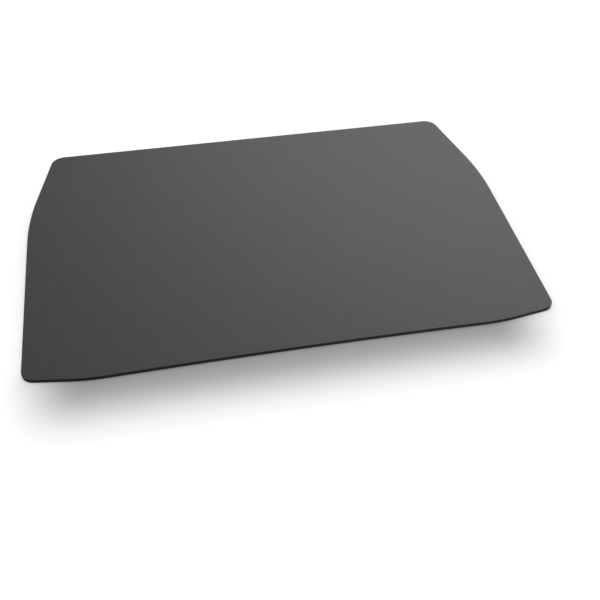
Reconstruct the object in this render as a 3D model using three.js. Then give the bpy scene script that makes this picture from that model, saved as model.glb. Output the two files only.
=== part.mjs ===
// Trunk mat: one thick cut sheet that lies flat, with a symmetric round-cornered outline.
// Millimetres, +Z up. X runs across the mat and +Y towards its far edge. The origin is on the
// floor, under the middle of the mat's length and width.
import * as THREE from 'three';

// The sheet
const thickness = 8;
const edgeRounding = 1; // radius of the arris along the top face and along the underside

// The outline, between the points where its straight stretches would meet without rounding
const matWidth = 1000; // across the two side bends, its widest place
const matLength = 691; // from the line between the near edge's ends to the far edge
const bendToNearEdge = 456;
const farInset = 40; // how far in each far corner lies from the side bend
const nearInset = 21.5; // the same for each near corner
const sweepLength = 109; // the end of the near edge that sweeps back, measured along X
const cornerSetBack = 16; // how far that end has swept back at the corner
const nearHollow = 4; // how far the middle of the near edge lies inside the line between its ends

// How each of those points is rounded
const farCornerRadius = 28;
const bendRadius = 660;
const nearCornerRadius = 23;
const sweepRadius = 410; // where the near edge starts to sweep back

// Fineness of the mesh
const arcSteps = 12;
const hollowSteps = 12;
const edgeSteps = 3;

// The right half of the outline, from the near edge to the far edge
const sideX = matWidth / 2;
const nearY = -matLength / 2;
const rightHalf = [
  { x: sideX - nearInset - sweepLength, y: nearY, radius: sweepRadius },
  { x: sideX - nearInset, y: nearY + cornerSetBack, radius: nearCornerRadius },
  { x: sideX, y: nearY + bendToNearEdge, radius: bendRadius },
  { x: sideX - farInset, y: nearY + matLength, radius: farCornerRadius },
];
const leftHalf = rightHalf.map(({ x, y, radius }) => ({ x: -x, y, radius })).reverse();

// The near edge is a parabola, and the tangents at its two ends cross here
const nearMiddle = new THREE.Vector2(0, nearY + 2 * nearHollow);

// The unit vector from one point of the outline to another
function direction(from, to) {
  return new THREE.Vector2(to.x - from.x, to.y - from.y).normalize();
}

// The arc that rounds the outline at one of its points, anticlockwise
function roundedAt(before, point, after) {
  const arriving = direction(before, point);
  const leaving = direction(point, after);
  const turn = Math.acos(arriving.dot(leaving));
  const setBack = point.radius * Math.tan(turn / 2); // from the point to where the arc starts
  const centreX = point.x - arriving.x * setBack - arriving.y * point.radius;
  const centreY = point.y - arriving.y * setBack + arriving.x * point.radius;
  const start = Math.atan2(-arriving.x, arriving.y);
  return new THREE.EllipseCurve(centreX, centreY, point.radius, point.radius, start, start + turn);
}

// Straight stretches join the arcs, and the parabola joins the last arc to the first
function matShape() {
  const ring = [...rightHalf, ...leftHalf, nearMiddle];
  const arcs = ring.slice(0, -1).map((point, i) => roundedAt(ring.at(i - 1), point, ring[i + 1]));
  const nearEdge = new THREE.QuadraticBezierCurve(arcs.at(-1).getPoint(1), nearMiddle, arcs[0].getPoint(0));
  const arcPoints = arcs.flatMap((arc) => arc.getPoints(arcSteps));
  return new THREE.Shape([...arcPoints, ...nearEdge.getPoints(hollowSteps).slice(1, -1)]);
}

// The sheet lies on z = 0, and its wall starts above the lower rounded arris. The outline is centred
// along Y, where the lowest point of its near side depends on the roundings.
function sheetGeometry() {
  const geometry = new THREE.ExtrudeGeometry(matShape(), {
    depth: thickness - 2 * edgeRounding,
    bevelThickness: edgeRounding,
    bevelSize: edgeRounding,
    bevelOffset: -edgeRounding,
    bevelSegments: edgeSteps,
  });
  geometry.computeBoundingBox();
  const middle = geometry.boundingBox.getCenter(new THREE.Vector3());
  return geometry.translate(0, -middle.y, edgeRounding);
}

const carpet = new THREE.MeshStandardMaterial({ color: 0x545455, roughness: 0.95, metalness: 0 });

const trunkMat = new THREE.Mesh(sheetGeometry(), carpet);
trunkMat.name = 'trunk_mat';

const part = new THREE.Group();
part.add(trunkMat);
export default part;
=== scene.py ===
import math
import bpy
import numpy as np
from mathutils import Matrix, Vector


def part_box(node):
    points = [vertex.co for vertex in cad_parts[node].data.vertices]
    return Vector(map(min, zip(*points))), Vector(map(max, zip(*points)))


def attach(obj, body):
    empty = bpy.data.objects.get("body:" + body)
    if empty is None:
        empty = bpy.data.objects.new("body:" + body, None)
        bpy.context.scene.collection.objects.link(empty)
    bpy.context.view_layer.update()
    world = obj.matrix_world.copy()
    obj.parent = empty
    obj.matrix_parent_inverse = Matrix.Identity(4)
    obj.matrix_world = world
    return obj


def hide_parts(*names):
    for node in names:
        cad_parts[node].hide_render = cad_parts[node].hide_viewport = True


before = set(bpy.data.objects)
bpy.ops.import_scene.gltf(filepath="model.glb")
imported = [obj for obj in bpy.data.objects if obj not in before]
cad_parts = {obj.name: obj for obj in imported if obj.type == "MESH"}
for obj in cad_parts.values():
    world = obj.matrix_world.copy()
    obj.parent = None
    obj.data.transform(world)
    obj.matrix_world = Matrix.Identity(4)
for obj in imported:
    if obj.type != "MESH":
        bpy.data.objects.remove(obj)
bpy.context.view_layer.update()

matLow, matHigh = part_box("trunk_mat")
matWidth, matLength, thickness = matHigh - matLow
print("frame loaded, the mat is", [round(side, 4) for side in matHigh - matLow])

# The camera stands in front of the mat, a little to the left, and looks down on it
shot = dict(
    focal=43.2,  # mm, on a 36 mm wide picture
    pitch=44.37,  # degrees down from level
    yaw=10.687,  # degrees to the right of straight over the mat
    aim=(0.0174, matLow.y + 0.1178, matHigh.z),  # the middle of the picture, on the mat's face
    distance=1.3431,
)


def placeCamera():
    data = bpy.data.cameras.new("camera")
    data.lens = shot["focal"]
    data.sensor_width = 36
    camera = bpy.data.objects.new("camera", data)
    pitch, yaw = math.radians(shot["pitch"]), math.radians(shot["yaw"])
    ahead = Vector((math.sin(yaw) * math.cos(pitch), math.cos(yaw) * math.cos(pitch), -math.sin(pitch)))
    right = Vector((math.cos(yaw), -math.sin(yaw), 0))
    turned = Matrix((right, right.cross(ahead), -ahead)).transposed()
    place = Vector(shot["aim"]) - ahead * shot["distance"]
    camera.matrix_world = Matrix.Translation(place) @ turned.to_4x4()
    bpy.context.scene.collection.objects.link(camera)
    bpy.context.scene.camera = camera


placeCamera()
print("camera placed")


# The outline of the cut, from the frame: the mat's widest ring of points, in order round its middle
def cutOutline():
    points = np.zeros(len(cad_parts["trunk_mat"].data.vertices) * 3)
    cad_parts["trunk_mat"].data.vertices.foreach_get("co", points)
    points = points.reshape(-1, 3)
    wall = points[np.abs(points[:, 2] - thickness / 2).argmin(), 2]
    ring = np.unique(points[np.isclose(points[:, 2], wall, atol=1e-5), :2].round(6), axis=0)
    return ring[np.argsort(np.arctan2(ring[:, 1], ring[:, 0]))]


# Points at the given shares of the way along an open line
def pointsAlong(line, shares):
    run = np.r_[0, np.cumsum(np.linalg.norm(np.diff(line, axis=0), axis=1))]
    return np.stack([np.interp(shares * run[-1], run, line[:, k]) for k in range(line.shape[1])], axis=1)


cut = dict(
    points=6400,  # round the outline, before it is laid out as cells
    ease=0.002,  # m along the outline over which its facets are eased into a curve
    across=200,  # cells along the near and far edges
    along=140,  # cells along the left and right edges
    crowd=0.62,  # how much closer the cells lie at the corners than in the middle of an edge
)


# The outline as four sides of cells, anticlockwise from the near left corner, with its outward
# normals. The corners are the points that reach furthest along the diagonals. The facets are eased
# by a Gaussian along the outline, and a share t of a side becomes t - crowd * sin(2 pi t) / (2 pi)
def laidOutline():
    ring = cutOutline()
    ring = pointsAlong(np.r_[ring, ring[:1]], np.arange(cut["points"]) / cut["points"])
    step = np.linalg.norm(np.diff(np.r_[ring, ring[:1]], axis=0), axis=1).sum() / cut["points"]
    reach = int(4 * cut["ease"] / step)
    weights = np.exp(-0.5 * (np.arange(-reach, reach + 1) * step / cut["ease"]) ** 2)
    wrapped = np.r_[ring[-reach:], ring, ring[:reach]]
    ring = np.stack([np.convolve(wrapped[:, k], weights / weights.sum(), "valid") for k in (0, 1)], axis=1)
    tangent = np.roll(ring, -1, axis=0) - np.roll(ring, 1, axis=0)
    tangent /= np.linalg.norm(tangent, axis=1)[:, None]
    both = np.c_[ring, tangent[:, 1], -tangent[:, 0]]
    corners = [int((ring @ way).argmax()) for way in ((-1, -1), (1, -1), (1, 1), (-1, 1))]
    both = np.roll(both, -corners[0], axis=0)
    stops = [(corner - corners[0]) % cut["points"] for corner in corners] + [cut["points"]]
    both = np.r_[both, both[:1]]
    sides = []
    for side in range(4):
        shares = np.linspace(0, 1, cut["along" if side % 2 else "across"] + 1)
        shares = shares - cut["crowd"] * np.sin(2 * np.pi * shares) / (2 * np.pi)
        sides.append(pointsAlong(both[stops[side]:stops[side + 1] + 1], shares)[:-1])
    laid = np.concatenate(sides)
    return laid[:, :2], laid[:, 2:] / np.linalg.norm(laid[:, 2:], axis=1)[:, None]


# A face filled in from its rim: the blend between its near and far sides, plus the blend between
# its left and right sides, less the blend of its four corners
def filledFace(rim):
    across, along = cut["across"], cut["along"]
    near = rim[:across + 1]
    right = rim[across:across + along + 1]
    far = rim[across + along:2 * across + along + 1][::-1]
    left = np.r_[rim[2 * across + along:], rim[:1]][::-1]
    u = np.linspace(0, 1, across + 1)[None, :, None]
    v = np.linspace(0, 1, along + 1)[:, None, None]
    u = u - cut["crowd"] * np.sin(2 * np.pi * u) / (2 * np.pi)
    v = v - cut["crowd"] * np.sin(2 * np.pi * v) / (2 * np.pi)
    ends = (1 - v) * ((1 - u) * near[0] + u * near[-1]) + v * ((1 - u) * far[0] + u * far[-1])
    return (1 - v) * near + v * far + (1 - u) * left[:, None] + u * right[:, None] - ends


sheet = dict(
    topRounding=0.0009,  # the arris round the pile face
    lowRounding=0.0008,  # the arris round the backing
    rimCells=(0.0075, 0.0045, 0.0027),  # rings of the flat faces inside the arris
    roundSteps=6,
    wallSteps=6,
    hollow=0.00012,  # how far the cut wall draws in at half its height
    pileEdge=0.00022,  # how much the pile thins towards the cut
    pileEdgeReach=0.006,
    waveReach=0.05,  # m in from the outline, where the waves reach their full height
    waves=((0.31, 0.12, 0.6, 0.00006), (-0.17, 0.21, 2.1, 0.00005), (0.09, -0.14, 4.0, 0.00003)),
)


# The pile's height over the mat: long low waves, each with its length along X and Y, phase and height
def pileWaves(x, y):
    return sum(
        height * np.sin(2 * np.pi * (x / alongX + y / alongY) + phase)
        for alongX, alongY, phase, height in sheet["waves"]
    )


# The section from the pile face's rim, round the arris, down the cut wall and under to the
# backing's rim, as pairs of inset and height. The arrises are quarter circles
def wallSection():
    top, low = sheet["topRounding"], sheet["lowRounding"]
    turn = np.linspace(0, np.pi / 2, sheet["roundSteps"] + 1)
    fall = np.linspace(0, 1, sheet["wallSteps"] + 1)[1:-1]
    face = [(inset, thickness) for inset in sheet["rimCells"]]
    upper = [(top * (1 - math.sin(a)), thickness - top * (1 - math.cos(a))) for a in turn]
    wall = [
        (sheet["hollow"] * math.sin(math.pi * t), thickness - top - t * (thickness - top - low))
        for t in fall
    ]
    lower = [(low * (1 - math.cos(a)), low * (1 - math.sin(a))) for a in turn]
    under = [(inset, 0.0) for inset in sheet["rimCells"][::-1]]
    return np.array(face + upper + wall + lower + under)


# How far points of the face lie from the outline, worked out in batches
def nearestOnOutline(points, outline):
    found = [
        np.sqrt(((batch[:, None] - outline[None, ::2]) ** 2).sum(axis=2).min(axis=1))
        for batch in np.array_split(points, 40)
    ]
    return np.concatenate(found)


# The whole sheet: a filled pile face, rings of the section round the outline, a filled backing
def matPiece(outline, outward):
    section = wallSection()
    around, rings = len(outline), len(section)
    across, along = cut["across"], cut["along"]
    ringPoints = np.zeros((rings, around, 3))
    ringPoints[:, :, :2] = outline[None] - outward[None] * section[:, 0][:, None, None]
    ringPoints[:, :, 2] = section[:, 1][:, None]
    faces = [filledFace(ringPoints[k]) for k in (0, -1)]
    grid = np.arange((along + 1) * (across + 1)).reshape(along + 1, across + 1)
    rim = np.r_[grid[0, :-1], grid[:-1, -1], grid[-1, :0:-1], grid[:0:-1, 0]]
    cells = grid.size
    middle = cells + np.arange((rings - 2) * around).reshape(rings - 2, around)
    lowGrid = grid + cells + middle.size
    ringIndex = np.r_[rim[None], middle, (rim + cells + middle.size)[None]]
    points = np.concatenate([part.reshape(-1, 3) for part in (faces[0], ringPoints[1:-1], faces[1])])
    quads = np.stack([grid[:-1, :-1], grid[:-1, 1:], grid[1:, 1:], grid[1:, :-1]], axis=-1).reshape(-1, 4)
    under = np.stack([lowGrid[:-1, :-1], lowGrid[1:, :-1], lowGrid[1:, 1:], lowGrid[:-1, 1:]], axis=-1)
    beside = np.roll(ringIndex, -1, axis=1)
    walls = np.stack([ringIndex[:-1], ringIndex[1:], beside[1:], beside[:-1]], axis=-1).reshape(-1, 4)
    quads = np.concatenate([quads, walls, under.reshape(-1, 4)])

    # the pile thins towards the cut, and waves a little away from it
    x, y, z = points.T
    depth = np.full(len(points), matLength)
    depth[ringIndex] = section[:, 0][:, None]
    inside = faces[0][1:-1, 1:-1, :2].reshape(-1, 2)
    depth[grid[1:-1, 1:-1].ravel()] = nearestOnOutline(inside, outline)
    share = np.clip((z - thickness / 2) / (thickness / 2), 0, 1)
    settle = np.clip(depth / sheet["waveReach"], 0, 1) ** 2
    thinning = sheet["pileEdge"] * np.exp(-depth / sheet["pileEdgeReach"])
    points[:, 2] += share * (pileWaves(x, y) * settle - thinning)

    mesh = bpy.data.meshes.new("trunkMat")
    mesh.from_pydata(points.tolist(), [], quads.tolist())
    mesh.polygons.foreach_set("use_smooth", np.ones(len(quads), dtype=bool))
    mesh.update()
    piece = bpy.data.objects.new("trunkMat", mesh)
    bpy.context.scene.collection.objects.link(piece)
    x, y = outline.T
    area = 0.5 * abs(np.sum(x * np.roll(y, -1) - y * np.roll(x, -1)))
    return piece, float(area)


# A shader socket that takes part in Python sums; each operator adds its Math node
class Socket:
    def __init__(self, nodes, socket):
        self.nodes = nodes
        self.socket = socket

    def __add__(self, other):
        return self.nodes.math("ADD", self, other)

    def __sub__(self, other):
        return self.nodes.math("SUBTRACT", self, other)

    def __rsub__(self, other):
        return self.nodes.math("SUBTRACT", other, self)

    def __mul__(self, other):
        return self.nodes.math("MULTIPLY", self, other)

    def __truediv__(self, other):
        return self.nodes.math("DIVIDE", self, other)

    def __pow__(self, other):
        return self.nodes.math("POWER", self, other)

    __radd__ = __add__


class Nodes:
    def __init__(self, tree):
        self.tree = tree
        tree.nodes.clear()

    # Any node: its type, its sockets' values or links, the output wanted, and its settings
    def add(self, kind, sockets=None, output=0, **settings):
        node = self.tree.nodes.new("ShaderNode" + kind)
        for name, value in settings.items():
            setattr(node, name, value)
        for name, value in (sockets or {}).items():
            if isinstance(value, Socket):
                self.tree.links.new(value.socket, node.inputs[name])
            else:
                node.inputs[name].default_value = value
        return Socket(self, node.outputs[output]) if len(node.outputs) else None

    def math(self, operation, first, second):
        return self.add("Math", {0: first, 1: second}, operation=operation)

    # 0 below low, 1 above high and a smooth rise between
    def rise(self, value, low, high):
        sockets = {"Value": value, "From Min": low, "From Max": high}
        return self.add("MapRange", sockets, interpolation_type="SMOOTHSTEP")

    # one colour where factor is 0, the other where it is 1
    def blend(self, factor, first, second):
        return self.add("Mix", {0: factor, 6: first, 7: second}, output=2, data_type="RGBA")

    def noise(self, where, scale, detail=2.0, roughness=0.5):
        sockets = {"Vector": where, "Scale": scale, "Detail": detail, "Roughness": roughness}
        return self.add("TexNoise", sockets)


def grey(level):
    return (level, level, level, 1)


pile = dict(
    face=0.0896,  # the face's mean tone, as a linear value
    fibreTurns=(0.20, 0.84, 1.41, 2.13, 2.72),  # radians, the ways the fibres lie
    fibreLength=0.0030,  # m
    fibreWidth=0.00036,
    fibreDepth=0.001,
    fibreBend=0.0016,  # m, how far they are bent
    bendScale=260,
    fibreMiddle=0.592,  # the fibres' own mean, which leaves the tone as it is
    paintedFibreShade=1.31,  # how strongly the topmost fibres stand out from the gaps between them: painted light on the tops and painted shade in the gaps
    clump=0.137,  # the same for the small clumps that the needling leaves
    clumpScale=300,
    lay=0.028,  # share by which the lay of the pile changes the tone, in long soft streaks
    layScale=(9, 3.5, 9),
    cutWallAndShade=0.040,  # the cut wall, where the pile is seen end on, darkened further by painted shade
    streak=0.34,  # share by which its upright fibres differ
    streakScale=(1500, 1500, 110),
    backing=0.030,
    grain=0.22,
    grainScale=900,
    arris=(0.0004, 0.0011),  # m below the face, where the cut wall's tone starts and is whole
    lowArris=(0.0002, 0.0009),  # m above the underside, where the backing's tone ends
    relief=0.0005,  # m, how deep the gaps between fibres are
    reliefStrength=0.6,
    reliefShares=(0.8, 0.4, 0.5),  # of the fibres, of the clumps and of the wall and backing
    roughness=0.93,
    ior=1.45,
    sheen=0.12,
    sheenRoughness=0.5,
)


# Needled carpet with a short pile: fine bent fibres that lie across each other, the topmost painted
# lightest and the gaps between them painted in shade, with small clumps and a soft lay. Each way that the
# fibres lie samples the noise at a place of its own. The cut wall has upright fibres and a dark grey that
# carries painted shade, and the backing a fine grain
def carpetFinish():
    material = bpy.data.materials.new("shortPileCarpet")
    material.use_nodes = True
    n = Nodes(material.node_tree)
    where = n.add("TexCoord", output=3)
    height = n.add("SeparateXYZ", {0: where}, output=2)
    onFace = n.rise(height, thickness - pile["arris"][1], thickness - pile["arris"][0])
    onBacking = 1 - n.rise(height, *pile["lowArris"])

    bend = n.add("TexNoise", {"Vector": where, "Scale": pile["bendScale"], "Detail": 1.0}, output=1)
    bent = n.add("VectorMath", {0: bend, 1: (pile["fibreBend"],) * 3, 2: where}, operation="MULTIPLY_ADD")
    fibre = 0.0
    for turn in pile["fibreTurns"]:
        size = (pile["fibreLength"], pile["fibreWidth"], pile["fibreDepth"])
        along = {"Vector": bent, "Rotation": (0, 0, turn), "Location": (turn, 0, 0), "Scale": size}
        strands = n.noise(n.add("Mapping", along, vector_type="TEXTURE"), 1, 2, 0.55)
        fibre = n.math("MAXIMUM", strands, fibre)
    clump = n.noise(where, pile["clumpScale"], 2, 0.55)
    lay = n.noise(n.add("Mapping", {"Vector": where, "Scale": pile["layScale"]}), 1, 3, 0.5)
    # The face's tone: fibre fleck with painted shade in the gaps between fibres, plus the clumps and the
    # lay
    faceToneAndShade = 1 + (fibre - pile["fibreMiddle"]) * (2 * pile["paintedFibreShade"])
    faceToneAndShade = faceToneAndShade + (clump - 0.5) * (2 * pile["clump"]) + (lay - 0.5) * (2 * pile["lay"])
    streak = n.noise(n.add("Mapping", {"Vector": where, "Scale": pile["streakScale"]}), 1, 3, 0.6)
    grain = n.noise(where, pile["grainScale"], 3, 0.65)
    wallTone = 1 + (streak - 0.5) * (2 * pile["streak"])
    backTone = 1 + (grain - 0.5) * (2 * pile["grain"])

    # The cut wall's grey is its own darker tone plus painted shade
    low = n.blend(onBacking, grey(pile["cutWallAndShade"]), grey(pile["backing"]))
    base = n.blend(onFace, low, grey(pile["face"]))
    lowTone = wallTone * (1 - onBacking) + backTone * onBacking
    tone = faceToneAndShade * onFace + lowTone * (1 - onFace)
    shade = n.add("CombineColor", {0: tone, 1: tone, 2: tone})
    both = {0: 1.0, 6: base, 7: shade}
    colour = n.add("Mix", both, output=2, data_type="RGBA", blend_type="MULTIPLY")

    reliefBelow = streak * (1 - onBacking) + grain * onBacking
    ofFibre, ofClump, ofBelow = pile["reliefShares"]
    relief = (fibre * ofFibre + clump * ofClump) * onFace + reliefBelow * (1 - onFace) * ofBelow
    bump = {"Height": relief, "Distance": pile["relief"], "Strength": pile["reliefStrength"]}
    shader = n.add("BsdfPrincipled", {
        "Base Color": colour,
        "Roughness": pile["roughness"],
        "IOR": pile["ior"],
        "Sheen Weight": pile["sheen"],
        "Sheen Roughness": pile["sheenRoughness"],
        "Normal": n.add("Bump", bump),
    })
    n.add("OutputMaterial", {"Surface": shader})
    return material


outline, outward = laidOutline()
trunkMat, flatArea = matPiece(outline, outward)
trunkMat.data.materials.append(carpetFinish())
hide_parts("trunk_mat")
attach(trunkMat, "root")
print("mat made,", len(trunkMat.data.polygons), "cells, area", round(flatArea, 4))


studio = dict(
    fill=0.225,  # even light from all round
    key=19.5,  # W, a soft box over the right half of the mat
    keyPlace=(0.73, 0.37, 0.92),
    keyAim=(0.82, 0.42, 0.0),
    keySize=1.8,
    floorReach=30,  # m from the middle to the floor's rim
    rings=26,  # rings of the floor round the mat
    ringReach=0.32,  # m out to the last of them
    ringCrowd=2.4,  # how much closer they lie at the mat
    ringInside=0.03,  # m from the outline in to a ring under the mat
    floorDrop=0.0002,  # m from the mat's underside down to the floor
    floorTone=0.40,
    whiteShare=0.9,  # share of plain white that the camera sees in the floor
    whiteLevel=1.14,
    shadow=0.655,  # darkest part of the wide soft painted shadow in front of the near edge
    shadowReach=0.086,
    shadowFall=2.25,
    shadowBack=0.05,  # m behind the mat's nearest point, where that shadow has gone
    shadowMiddle=-0.012,  # m along X
    shadowEnds=(0.362, 0.512),  # m from its middle, where that shadow starts to thin and has gone
    rim=0.17,  # the faint painted shadow round the mat, strongest at its near side
    rimReach=0.020,
    rimThins=(0.0, 0.42),  # m along Y, where the faint shadow starts to thin and has gone
    paintedContactShadow=0.35,  # the painted contact shadow, a dark line where the mat meets the floor
    paintedContactReach=0.0022,
)


# The floor: the ground under the mat, rings round its outline at growing distances, and a wide rim.
# Each point carries how far it lies outside the outline
def floorMesh():
    steps = studio["ringReach"] * np.linspace(0, 1, studio["rings"]) ** studio["ringCrowd"]
    steps = np.r_[-studio["ringInside"], steps]
    rings = outline[None] + outward[None] * steps[:, None, None]
    far = outline / np.linalg.norm(outline, axis=1)[:, None] * studio["floorReach"]
    points = np.concatenate([rings.reshape(-1, 2), far])
    points = np.c_[points, np.full(len(points), -studio["floorDrop"])]
    around = len(outline)
    index = np.arange(len(points)).reshape(-1, around)
    beside = np.roll(index, -1, axis=1)
    quads = np.stack([index[:-1], index[1:], beside[1:], beside[:-1]], axis=-1).reshape(-1, 4)
    mesh = bpy.data.meshes.new("floor")
    mesh.from_pydata(points.tolist(), [], quads.tolist() + [index[0].tolist()])
    outside = mesh.attributes.new("outside", "FLOAT", "POINT")
    outside.data.foreach_set("value", np.repeat(np.r_[steps, studio["floorReach"]], around))
    return mesh


# Pale and matt. To the camera it is mostly plain white, darkened by three soft shadows of the mat that are
# painted into its colour by place on the floor
def floorFinish():
    material = bpy.data.materials.new("paleFloor")
    material.use_nodes = True
    n = Nodes(material.node_tree)
    where = n.add("TexCoord", output=3)
    x = n.add("SeparateXYZ", {0: where}, output=0)
    y = n.add("SeparateXYZ", {0: where}, output=1)
    outside = n.math("MAXIMUM", n.add("Attribute", output=2, attribute_name="outside"), 0.0)
    # Painted shadows of the mat on the floor: a wide soft one in front of the near edge, a faint one all
    # round, and a dark contact line
    ahead = n.math("MAXIMUM", (matLow.y - y) / studio["shadowReach"], 0.0)
    aside = n.add("Math", {0: x - studio["shadowMiddle"]}, operation="ABSOLUTE")
    ends = 1 - n.rise(aside, *studio["shadowEnds"])
    inFront = 1 - n.rise(y, matLow.y, matLow.y + studio["shadowBack"])
    wide = n.math("POWER", math.e, ahead ** studio["shadowFall"] * -1.0) * ends * inFront * studio["shadow"]
    # painted shadow: a faint darkening all round the mat, fading towards its far side
    rim = n.math("POWER", math.e, outside / -studio["rimReach"]) * studio["rim"]
    rim = rim * (1 - n.rise(y, *studio["rimThins"]))
    # painted contact shadow: a dark line right at the mat's foot
    paintedContactShadow = n.math("POWER", math.e, outside / -studio["paintedContactReach"]) * studio["paintedContactShadow"]
    seen = n.add("LightPath", output=0)
    shadow = (1 - (1 - wide) * (1 - rim) * (1 - paintedContactShadow)) * seen
    diffuse = n.add("BsdfDiffuse", {"Color": grey(studio["floorTone"])})
    white = n.add("Emission", {"Color": grey(1.0), "Strength": studio["whiteLevel"]})
    black = n.add("Emission", {"Color": grey(0.0), "Strength": 0.0})
    lit = n.add("MixShader", {0: seen * studio["whiteShare"], 1: diffuse, 2: white})
    n.add("OutputMaterial", {"Surface": n.add("MixShader", {0: shadow, 1: lit, 2: black})})
    return material


def setStudio():
    floor = bpy.data.objects.new("floor", floorMesh())
    floor.data.materials.append(floorFinish())
    bpy.context.scene.collection.objects.link(floor)

    lamp = bpy.data.lights.new("softBox", "AREA")
    lamp.energy = studio["key"]
    lamp.size = studio["keySize"]
    key = bpy.data.objects.new("softBox", lamp)
    place = Vector(studio["keyPlace"])
    key.location = place
    key.rotation_euler = (Vector(studio["keyAim"]) - place).to_track_quat("-Z", "Y").to_euler()
    bpy.context.scene.collection.objects.link(key)

    world = bpy.data.worlds.new("room")
    world.use_nodes = True
    bpy.context.scene.world = world
    n = Nodes(world.node_tree)
    seen = n.add("LightPath", output=0)
    strength = seen * (1 - studio["fill"]) + studio["fill"]
    n.add("OutputWorld", {"Surface": n.add("Background", {"Color": grey(1.0), "Strength": strength})})
    bpy.context.scene.view_settings.view_transform = "Standard"


setStudio()
print("studio set")
